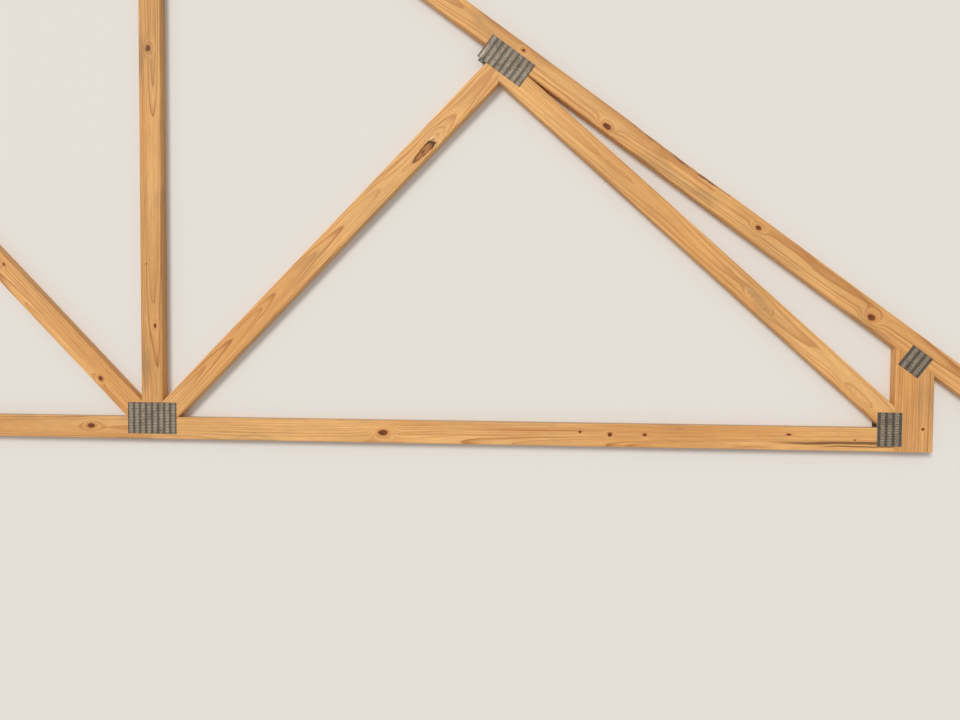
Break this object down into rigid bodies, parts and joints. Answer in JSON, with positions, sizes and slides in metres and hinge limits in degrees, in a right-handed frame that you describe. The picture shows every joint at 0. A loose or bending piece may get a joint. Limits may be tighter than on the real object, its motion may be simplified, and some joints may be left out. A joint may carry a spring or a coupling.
{
  "type": "wooden roof truss",
  "caption": "Wooden king-post roof truss with a raised heel, spliced bottom chord and toothed steel connector plates.",
  "frame": {"origin": "middle of the footprint of the truss lying flat, on the surface that it lies on", "axes": "+X along the bottom chord, +Y from the bottom chord to the ridge, +Z through the wood's thickness"},
  "size_m": [6.6548, 2.6638, 0.0399],
  "materials": {
    "pine": "planed, dry, unfinished",
    "galvanised_steel": "punched galvanised sheet"
  },
  "bodies": {
    "root": {"king_post": "pine", "top_chord_right": "pine", "top_chord_left": "pine", "bottom_chord_right": "pine", "bottom_chord_left": "pine", "inner_web_right": "pine", "inner_web_left": "pine", "outer_web_right": "pine", "outer_web_left": "pine", "end_post_right": "pine", "end_post_left": "pine", "panel_plate_right_front": "galvanised_steel", "panel_plate_right_back": "galvanised_steel", "panel_plate_left_front": "galvanised_steel", "panel_plate_left_back": "galvanised_steel", "post_plate_right_front": "galvanised_steel", "post_plate_right_back": "galvanised_steel", "post_plate_left_front": "galvanised_steel", "post_plate_left_back": "galvanised_steel", "heel_plate_right_front": "galvanised_steel", "heel_plate_right_back": "galvanised_steel", "heel_plate_left_front": "galvanised_steel", "heel_plate_left_back": "galvanised_steel", "splice_plate_front": "galvanised_steel", "splice_plate_back": "galvanised_steel", "ridge_plate_front": "galvanised_steel", "ridge_plate_back": "galvanised_steel"}
  },
  "joints": []
}
